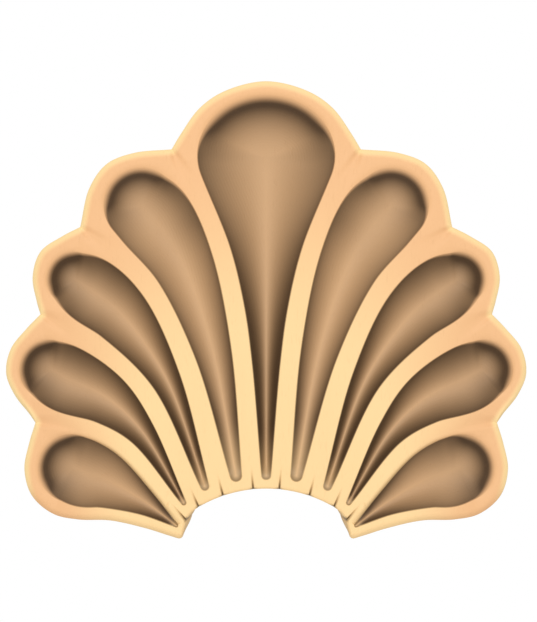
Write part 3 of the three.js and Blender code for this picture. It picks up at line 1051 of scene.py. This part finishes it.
    def shade_facts(self, k: int, track: GougeTrack, edge: dict[Run, EdgeLine], grid: np.ndarray,
                    facts: dict[str, np.ndarray]) -> dict[str, np.ndarray]:
        """Where the painted shade lies in one scoop.

        Args:
            k: the lobe's number from the middle.
            track: the gouge's track.
            edge: the scoop's edge.
            grid: the lobe's plan points.
            facts: what the carver's rule needs at each.

        Returns:
            The further facts that the finish reads for the painted shade.
        """
        lobe = self.lobes[k]
        # painted shade: darkest at the scoop's edge and round its head, thinning towards the middle and the
        # foot
        even_shade, pale_foot = plan_point((lobe.even_shade, lobe.pale_foot))
        thinning = (even_shade / facts[CarvedTone.REACH.value]) ** self.shade_power
        thinning = np.clip(thinning, *self.thinning_range)
        foot = np.linalg.norm(grid - track.centre[0] * (lobe.splay, 1.0), axis=-1)
        pale = ease(np.clip(1 - foot / pale_foot, 0, 1))
        return {
            CarvedTone.FROM_HEAD.value: distance_to(grid, self.pool_line(edge, lobe)) * lobe.shade_falloff,
            CarvedTone.ACROSS.value: facts["scoop_share"] * lobe.middle_shade_lift,
            CarvedTone.THINNING.value: thinning * (1 - self.foot_thinning * pale),
            CarvedTone.PALE_FOOT.value: pale,
        }

    def highlight_line(self, outlines: list[dict[Run, np.ndarray]]) -> np.ndarray:
        """The outline round the heads, where the edge gets a painted highlight.

        Args:
            outlines: the outline of each lobe.

        Returns:
            Rows of place and height, lifted off the plan at the lower end, where the painted highlight fades
            out towards the underside, which faces away from the light.
        """
        rim = np.vstack([outline[Run.CROWN] for outline in outlines])
        shaded = self.crown_steps // 2
        fade = np.append(np.zeros(len(rim) - shaded), np.linspace(0, self.highlight_end, shaded))
        return np.column_stack([rim, fade])

    def plan_mesh(self) -> bpy.types.Mesh:
        """Draws the flat plan of the whole front.

        Returns:
            The plan, with the carver's facts as point attributes.
        """
        tracks = [self.track(lobe) for lobe in self.lobes]
        cusps = [plan_point(cusp) for cusp in CUSPS]
        corners = [mirrored(cusps[0]), *cusps, plan_point(HEEL)]
        edges = [self.scoop_edge(*sides) for sides in zip(tracks, self.lobes, corners, corners[1:])]
        outlines = self.outlines(edges)
        # the outline that carries the painted highlight
        edge_highlight = self.highlight_line(outlines)
        points, faces, facts = [], [], {}
        count = 0
        for k, track in enumerate(tracks):
            grid, grid_facts = self.lobe_grid(self.columns(k, edges[k], outlines[k]))
            grid_facts.update(self.shade_facts(k, track, edges[k], grid, grid_facts))
            grid_facts[CarvedTone.FROM_OUTLINE.value] = distance_to(grid, edge_highlight)
            wide, tall = grid.shape[:2]
            numbers = np.arange(wide * tall).reshape(wide, tall)
            after = np.roll(numbers, -1, axis=0)
            ring = [numbers[:, :-1], numbers[:, 1:], after[:, 1:], after[:, :-1]]
            quads = np.stack(ring, axis=-1).reshape(-1, 4)
            for side in ((1,) if k == 0 else (1, -1)):
                points.append(grid.reshape(-1, 2) * [side, 1])
                faces.append((quads if side > 0 else quads[:, ::-1]) + count)
                for name, values in grid_facts.items():
                    facts.setdefault(name, []).append(values.ravel() * (side if name == "draft" else 1))
                count += wide * tall
        plan = np.vstack(points)
        half_width = CAD_BOX[1][0] / MM
        plan[:, 0] = np.clip(plan[:, 0], -half_width, half_width)
        whole = {name: np.concatenate(parts) for name, parts in facts.items()}
        return self.welded(plan, np.vstack(faces), whole)

    def welded(self, points: np.ndarray, quads: np.ndarray, facts: dict[str, np.ndarray]) -> bpy.types.Mesh:
        """One mesh with the corners that lie in one place shared.

        Args:
            points: plan points in millimetres.
            quads: the faces.
            facts: a value at each point for each attribute.

        Returns:
            The flat mesh, in metres.
        """
        keys = np.round(points * WELD_PLACES).astype(np.int64)
        _, first, number = np.unique(keys, axis=0, return_index=True, return_inverse=True)
        faces = []
        for quad in number.ravel()[quads].tolist():
            kept = [corner for corner, before in zip(quad, quad[-1:] + quad[:-1]) if corner != before]
            if len(kept) > 2:
                faces.append(kept)
        places = np.column_stack([points[first, 0], np.zeros(len(first)), points[first, 1] - HEIGHT / 2]) * MM
        mesh = bpy.data.meshes.new("shell_plan")
        mesh.from_pydata(places.tolist(), [], faces)
        for name, values in facts.items():
            scale = MM if name in self.LENGTHS else 1.0
            layer = mesh.attributes.new(name, "FLOAT", "POINT")
            layer.data.foreach_set("value", (values[first] * scale).astype(np.float32))
        mesh.shade_smooth()
        mesh.update()
        return mesh

    def build(self, front: bpy.types.Material, back: bpy.types.Material) -> bpy.types.Object:
        """Raises the plan into the finished carving.

        Args:
            front: the finish of the carved front and the edge.
            back: the finish of the flat back.

        Returns:
            The carving as a plain mesh object.
        """
        plan = placed("shell_plan", self.plan_mesh())
        plan.data.materials.append(front)
        relief = ReliefTree()
        modifier = plan.modifiers.new("relief", "NODES")
        modifier.node_group = relief.build(front, back)
        for item in modifier.node_group.interface.items_tree:
            if item.item_type == "SOCKET" and item.in_out == "INPUT" and item.name in relief.sizes:
                modifier[item.identifier] = relief.sizes[item.name]
        bpy.context.view_layer.update()
        ready = plan.evaluated_get(bpy.context.evaluated_depsgraph_get())
        mesh = bpy.data.meshes.new_from_object(ready)
        mesh.name = "shell_carved"
        bpy.data.objects.remove(plan)
        self.clean(mesh)
        return placed("shell_carved", mesh)

    def clean(self, mesh: bpy.types.Mesh) -> None:
        """Keeps the back flat, and drops the empty material slots and the facts that no finish reads.

        Args:
            mesh: the raised mesh.
        """
        places = np.zeros(len(mesh.vertices) * 3)
        mesh.vertices.foreach_get("co", places)
        places[1::3] = np.minimum(places[1::3], 0)
        mesh.vertices.foreach_set("co", places)
        spent = {*self.FACTS, "draft"} - {tone.value for tone in CarvedTone}
        for name in [layer.name for layer in mesh.attributes if layer.name in spent]:
            mesh.attributes.remove(mesh.attributes[name])
        for slot in reversed(range(len(mesh.materials))):
            if mesh.materials[slot] is None:
                mesh.materials.pop(index=slot)


@dataclass(frozen=True)
class WoodGrain:
    """The shader group for the figure of the wood, which both finishes use.

    Attributes:
        name: the group's name.
        marks: for each mark its width in millimetres, how many times longer it is, and its noise detail.
    """

    name: str = "wood_grain"
    marks: tuple[tuple[str, float, int, int], ...] = (
        ("Streak", 9.0, 14, 3),
        ("Fibre", 0.5, 40, 4),
        ("Pore", 0.45, 7, 0),
    )

    def build(self) -> bpy.types.NodeTree:
        """Builds the group: fibre, streaks and pores that run up the board.

        Returns:
            The group's node tree.
        """
        tree = bpy.data.node_groups.new(self.name, "ShaderNodeTree")
        face = tree.interface
        for label, width, _, _ in self.marks:
            socket = face.new_socket(name=f"{label} Width", in_out="INPUT", socket_type="NodeSocketFloat")
            socket.default_value = width
        for label, _, _, _ in self.marks:
            face.new_socket(name=label, in_out="OUTPUT", socket_type="NodeSocketFloat")
        board = Board(tree)
        start = board.add("NodeGroupInput")
        where = board.add("ShaderNodeTexCoord").outputs["Object"]
        results = {}
        for label, _, longer, detail in self.marks:
            per_metre = 1 / (Field(board, start.outputs[f"{label} Width"]) * MM)
            scale = board.add("ShaderNodeCombineXYZ", {
                "X": per_metre,
                "Y": per_metre,
                "Z": per_metre / longer,
            })
            mapped = board.add("ShaderNodeMapping", {"Vector": where, "Scale": scale.outputs[0]})
            noise = board.add("ShaderNodeTexNoise", {
                "Vector": mapped.outputs[0],
                "Scale": 1.0,
                "Detail": detail,
            })
            results[label] = noise.outputs["Fac"]
        board.add("NodeGroupOutput", results)
        return tree


@dataclass(frozen=True)
class Finish:
    """What both finishes of the wood have.

    Attributes:
        name: the material's name.
        roughness: how matt it is.
    """

    name: str
    roughness: float

    def start(self, grain: bpy.types.NodeTree) -> tuple[bpy.types.Material, Board, dict[str, Field]]:
        """Starts the material.

        Args:
            grain: the shared group for the figure of the wood.

        Returns:
            The material, its tree, and the marks of the grain.
        """
        material = bpy.data.materials.new(self.name)
        material.use_nodes = True
        board = Board(material.node_tree)
        figure = board.add("ShaderNodeGroup", node_tree=grain)
        return material, board, {socket.name: Field(board, socket) for socket in figure.outputs}

    def dress(self, board: Board, relief: Field, inputs: Inputs) -> None:
        """Gives the shader its inputs.

        Args:
            board: the material's tree.
            relief: the height of its fine relief, in millimetres.
            inputs: what its other inputs take.
        """
        bump = board.add("ShaderNodeBump", {"Distance": MM, "Height": relief})
        board.feed(board.tree.nodes["Principled BSDF"], {**inputs, "Normal": bump.outputs[0]})


@dataclass(frozen=True)
class WoodWithPaintedLight(Finish):
    """The satin finish of the carved front: pale wood, with painted shade in the scoops and the grooves at
    the notch, darker painted shade on the heads' rims, and a painted highlight along the heads' outer edge.

    Attributes:
        rib: the ribs at the notch.
        rim: the land round the heads, painted darker and more orange as painted shade of its outward tilt.
        edge_highlight: a painted highlight along the heads' outer edge.
        deepest_shade: the painted shade where it lies darkest.
        floor_shade: the painted shade along the middle of a scoop, where it is lightest.
        pore: the dark marks of the grain.
        rise_line: where along a rib its colour starts to turn to the rim's painted shade, and where it is
            full.
        crisp_line: where the painted shade starts and is full across a crisp edge, in millimetres from the
            edge.
        soft_line: the same across the rolled edge of a middling head; it is wider round a wide one.
        soft_widening: how wide that is for a head of no size, and how much it grows with each millimetre.
        side_release: how fast a rolled edge takes the painted shade off the side of a scoop.
        highlight_line: how far in from the outline the painted highlight is full, and where it ends.
        pool: how far the darkest painted shade reaches in from a round head, in millimetres.
        pool_rate: how fast it thins beyond that.
        foot_paleness: how much of the painted shade is missing at a pale foot.
        crease_shade: how dark the painted shade lies in the grooves at the notch.
        pore_line: how dark a pore starts and is full.
        figure_shares: how much the streaks, the fibre and all marks together show.
        roughness_play: how much the fibre changes the roughness.
        ridges: pitch and height of the gouge's ridges, and how far in they are full, in millimetres.
        fibre_relief: the height of the fibre and the depth of the pores, in millimetres.
    """

    name: str = "wood_painted_light"
    roughness: float = 0.55
    specular: float = 0.3
    rib: Colour = Colour(227, 192, 138)
    rim: Colour = Colour(216, 168, 120)
    edge_highlight: Colour = Colour(231, 201, 145)
    deepest_shade: Colour = Colour(73, 53, 33)
    floor_shade: Colour = Colour(188, 149, 107)
    pore: Colour = Colour(150, 104, 62)
    rise_line: tuple[float, float] = (0.4, 0.95)
    crisp_line: tuple[float, float] = (-0.3, 0.35)
    soft_line: tuple[float, float] = (-0.85, 2.0)
    soft_widening: tuple[float, float] = (0.72, 0.021)
    side_release: float = 1.5
    highlight_line: tuple[float, float] = (0.5, 2.9)
    pool: float = 2.3
    pool_rate: float = 0.2
    foot_paleness: float = 0.25
    crease_shade: float = 0.9
    pore_line: tuple[float, float] = (0.68, 0.8)
    figure_shares: tuple[float, float, float] = (1.6, 0.8, 0.05)
    roughness_play: float = 0.12
    ridges: tuple[float, float, float] = (1.0, 0.012, 0.6)
    fibre_relief: tuple[float, float] = (0.01, 0.02)

    def shade_lift(self, fact: dict[CarvedTone, Field]) -> Field:
        """How far the painted shade is lifted, from 0 where it lies darkest to 1.

        It thins from each edge of a scoop to its middle, faster where the scoop is wide, and away from the
        round head.

        Args:
            fact: the facts that the carved surface carries.

        Returns:
            The share that is lifted.
        """
        across = fact[CarvedTone.ACROSS] ** fact[CarvedTone.THINNING]
        side = across.toward(1, (fact[CarvedTone.SOFTNESS] * self.side_release).lower(1))
        past = (fact[CarvedTone.FROM_HEAD] - self.pool).higher(0)
        return side * (1 - (past * past / (past + 1) * -self.pool_rate).reckon("EXPONENT"))

    def inside(self, ring: Field, softness: Field, reach: Field) -> Field:
        """How far the painted shade covers the wood, from 0 on the land to 1 in a scoop.

        Args:
            ring: how far inside the scoop's edge a point is.
            softness: how rounded that edge is.
            reach: how far it is from there to the middle of the scoop.

        Returns:
            The cover, which rises over a wider band the softer the edge is.
        """
        (crisp_start, crisp_full), (soft_start, soft_full) = self.crisp_line, self.soft_line
        crisp_band, soft_band = crisp_full - crisp_start, soft_full - soft_start
        least, growth = self.soft_widening
        start = softness * (soft_start - crisp_start) + crisp_start
        band = softness * ((reach * growth + least) * soft_band - crisp_band) + crisp_band
        share = ((ring - start) / band).higher(0).lower(1)
        return share * share * (share * -2 + 3)

    def build(self, grain: bpy.types.NodeTree) -> bpy.types.Material:
        """Builds the material.

        Args:
            grain: the shared group for the figure of the wood.

        Returns:
            The finished material.
        """
        material, board, mark = self.start(grain)
        fact = {
            tone: Field(board, board.add("ShaderNodeAttribute", attribute_name=tone.value).outputs["Fac"])
            for tone in CarvedTone
        }
        ring, fibre = fact[CarvedTone.RING], mark["Fibre"]
        # the heads' rims are painted darker: painted shade of their outward tilt
        land = board.mix(self.rib, self.rim, fact[CarvedTone.RISE].smooth(*self.rise_line))
        # painted highlight along the heads' outer edge
        land = board.mix(self.edge_highlight, land, fact[CarvedTone.FROM_OUTLINE].smooth(*self.highlight_line))
        # painted shade in the scoops: darkest at their edges and round the heads, lighter along their middles
        painted_shade = board.mix(self.deepest_shade, self.floor_shade, self.shade_lift(fact))
        inside = self.inside(ring, fact[CarvedTone.SOFTNESS], fact[CarvedTone.REACH])
        # the painted shade covers the scoops, with less of it at their shallow feet
        colour = board.mix(land, painted_shade, inside * (1 - fact[CarvedTone.PALE_FOOT] * self.foot_paleness))
        # painted shade in the grooves at the notch
        colour = board.mix(colour, self.deepest_shade, fact[CarvedTone.CREASE] * self.crease_shade)
        streak_share, fibre_share, figure = self.figure_shares
        pores = mark["Pore"].smooth(*self.pore_line)
        marks = ((mark["Streak"] - 0.5) * streak_share + (fibre - 0.5) * fibre_share + pores) * figure
        pitch, height, full = self.ridges
        wave = (ring * (2 * math.pi / pitch)).reckon("SINE") * ring.smooth(0.0, full) * 0.5
        raised, sunk = self.fibre_relief
        self.dress(board, wave * height + fibre * raised - pores * sunk, {
            "Specular IOR Level": self.specular,
            "Base Color": board.mix(colour, self.pore, marks.higher(0)),
            "Roughness": fibre * self.roughness_play + (self.roughness - self.roughness_play / 2),
        })
        return material


@dataclass(frozen=True)
class BareWood(Finish):
    """The sawn and planed wood of the flat back, left without a finish.

    Attributes:
        base: the wood between the lines of its figure.
        line: those lines.
        streak_line: how dark a streak starts and is full, and how much of it shows.
        fibre_line: the same for the fibre.
        fibre_height: how high the fibre stands, in millimetres.
    """

    name: str = "bare_wood"
    roughness: float = 0.75
    base: Colour = Colour(226, 192, 148)
    line: Colour = Colour(196, 156, 110)
    streak_line: tuple[float, float, float] = (0.3, 0.75, 0.6)
    fibre_line: tuple[float, float, float] = (0.4, 0.8, 0.35)
    fibre_height: float = 0.05

    def build(self, grain: bpy.types.NodeTree) -> bpy.types.Material:
        """Builds the material.

        Args:
            grain: the shared group for the figure of the wood.

        Returns:
            The finished material.
        """
        material, board, mark = self.start(grain)
        (*streak_ends, streak_share), (*fibre_ends, fibre_share) = self.streak_line, self.fibre_line
        streaks = mark["Streak"].smooth(*streak_ends) * streak_share
        share = streaks + mark["Fibre"].smooth(*fibre_ends) * fibre_share
        self.dress(board, mark["Fibre"] * self.fibre_height, {
            "Roughness": self.roughness,
            "Base Color": board.mix(self.base, self.line, share),
        })
        return material


@dataclass(frozen=True)
class SoftLight:
    """A soft square light that faces the ornament: its place, power in watts and the length of its side."""

    name: str
    place: Place
    power: float
    size: float

    def hang(self) -> None:
        """Hangs it in the scene."""
        lamp = bpy.data.lights.new(self.name, "AREA")
        lamp.energy = self.power
        lamp.size = self.size
        light = placed(self.name, lamp)
        light.location = self.place
        light.rotation_euler = (-Vector(self.place)).to_track_quat("-Z", "Y").to_euler()


@dataclass(frozen=True)
class Studio:
    """The floor, the lights and the camera. Sizes are in metres.

    Attributes:
        distance: from the camera to the carved front.
        frame_height: how much the picture takes in there, from its top to its bottom.
        aim: the camera's place across and up.
        backdrop: how bright the backdrop looks.
        ambient: how much light it gives.
    """

    floor_level: float = -0.62
    floor_size: float = 2.4
    floor_colour: tuple[float, float, float, float] = (0.82, 0.82, 0.81, 1)
    floor_roughness: float = 0.9
    sensor: float = 36.0
    distance: float = 0.7
    frame_height: float = 0.2168
    aim: Point = (0.0008, -0.00044)
    lights: tuple[SoftLight, ...] = (
        SoftLight("key", (0.0, -1.0, 0.62), 7.0, 0.7),
        SoftLight("front", (0.0, -1.3, 0.0), 3.2, 0.5),
        SoftLight("fill", (0.0, -0.8, -0.5), 1.6, 0.6),
    )
    backdrop: float = 1.0
    ambient: float = 0.62

    def lay_floor(self) -> None:
        """A plain pale floor, well below the ornament."""
        half, level = self.floor_size / 2, self.floor_level
        corners = [(-half, -half, level), (half, -half, level), (half, half, level), (-half, half, level)]
        mesh = bpy.data.meshes.new("floor")
        mesh.from_pydata(corners, [], [(0, 1, 2, 3)])
        material = bpy.data.materials.new("pale_floor")
        material.use_nodes = True
        Board(material.node_tree).feed(material.node_tree.nodes["Principled BSDF"], {
            "Base Color": self.floor_colour,
            "Roughness": self.floor_roughness,
        })
        mesh.materials.append(material)
        floor = placed("floor", mesh)
        floor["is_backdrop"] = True

    def light(self) -> None:
        """A white backdrop, which looks brighter than the light it gives, and the soft lights."""
        world = bpy.data.worlds.new("white_backdrop")
        world.use_nodes = True
        board = Board(world.node_tree)
        seen = world.node_tree.nodes["Background"]
        board.feed(seen, {"Color": PURE_WHITE, "Strength": self.backdrop})
        felt = board.add("ShaderNodeBackground", {"Color": PURE_WHITE, "Strength": self.ambient})
        both = board.add("ShaderNodeMixShader", {
            0: board.add("ShaderNodeLightPath").outputs["Is Camera Ray"],
            1: felt.outputs[0],
            2: seen.outputs[0],
        })
        board.feed(world.node_tree.nodes["World Output"], {"Surface": both.outputs[0]})
        bpy.context.scene.world = world
        for lamp in self.lights:
            lamp.hang()

    def place_camera(self) -> None:
        """The camera straight in front, far enough away for a faint perspective."""
        data = bpy.data.cameras.new("camera")
        data.sensor_width = self.sensor
        data.lens = self.sensor * self.distance / self.frame_height
        camera = placed("camera", data)
        camera.location = (self.aim[0], -THICKNESS * MM - self.distance, self.aim[1])
        camera.rotation_euler = (math.radians(90), 0, 0)
        bpy.context.scene.camera = camera

    def build(self) -> None:
        """Sets up the whole studio."""
        self.lay_floor()
        self.light()
        self.place_camera()
        bpy.context.scene.view_settings.view_transform = "Standard"


def open_edges(mesh: bpy.types.Mesh) -> int:
    """How many edges don't join exactly two faces.

    Args:
        mesh: the mesh to look at.

    Returns:
        Their number, which is 0 for a closed mesh.
    """
    uses = np.zeros(len(mesh.edges), int)
    edge_of = np.zeros(len(mesh.loops), np.int32)
    mesh.loops.foreach_get("edge_index", edge_of)
    np.add.at(uses, edge_of, 1)
    return int(np.sum(uses != 2))


def report(piece: bpy.types.Object) -> None:
    """Logs one finished piece.

    Args:
        piece: the piece, on its own in the scene.
    """
    triangles = sum(len(face.vertices) - 2 for face in piece.data.polygons)
    low, high = ([round(v / MM, 2) for v in corner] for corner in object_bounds())
    log.info("%s: %d triangles, %d open edges, box %s to %s mm",
             piece.name, triangles, open_edges(piece.data), low, high)


def main() -> None:
    """Builds the ornament and its studio."""
    logging.basicConfig(level=logging.INFO, format="%(name)s %(message)s")
    grain = WoodGrain().build()
    carving = ShellCarving().build(WoodWithPaintedLight().build(grain), BareWood().build(grain))
    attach(carving, "root")
    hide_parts("shell_carving")
    report(carving)
    Studio().build()


if __name__ == "__main__":
    main()
